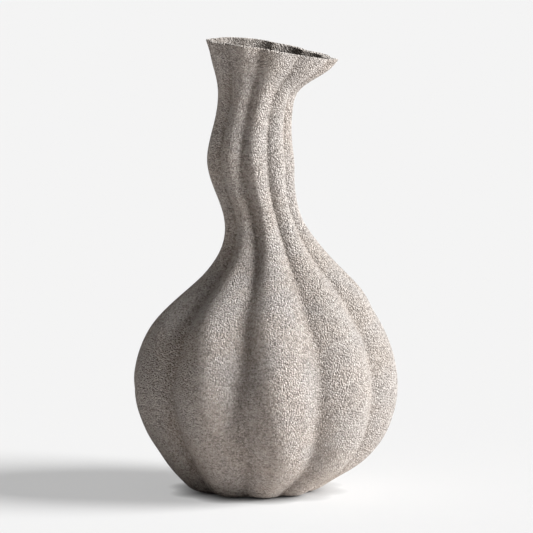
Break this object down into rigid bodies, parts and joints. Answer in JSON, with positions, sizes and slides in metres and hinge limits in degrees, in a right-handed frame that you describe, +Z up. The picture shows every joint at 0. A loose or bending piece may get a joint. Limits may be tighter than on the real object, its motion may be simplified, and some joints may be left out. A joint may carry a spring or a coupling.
{
  "type": "fluted gourd vase",
  "caption": "Floor or table vase shaped like a fluted gourd: a round hollow body drawn up into a leaning neck, with a flared mouth and a pouring lip on one side",
  "frame": {"origin": "on the floor under the middle of the bulb, level with the bottom of the foot pads", "axes": "+Z up, +X the way the pouring lip points, +Y to the back of the vase as seen with the lip on the right"},
  "size_m": [0.2827, 0.2876, 0.4851],
  "materials": {
    "stoneware": "matte, rough and sandy, speckled taupe grey",
    "pad_felt": "pressed grey felt"
  },
  "bodies": {
    "root": {"vase_body": "stoneware", "foot_pad_1": "pad_felt", "foot_pad_2": "pad_felt", "foot_pad_3": "pad_felt", "foot_pad_4": "pad_felt", "foot_pad_5": "pad_felt"}
  },
  "joints": []
}
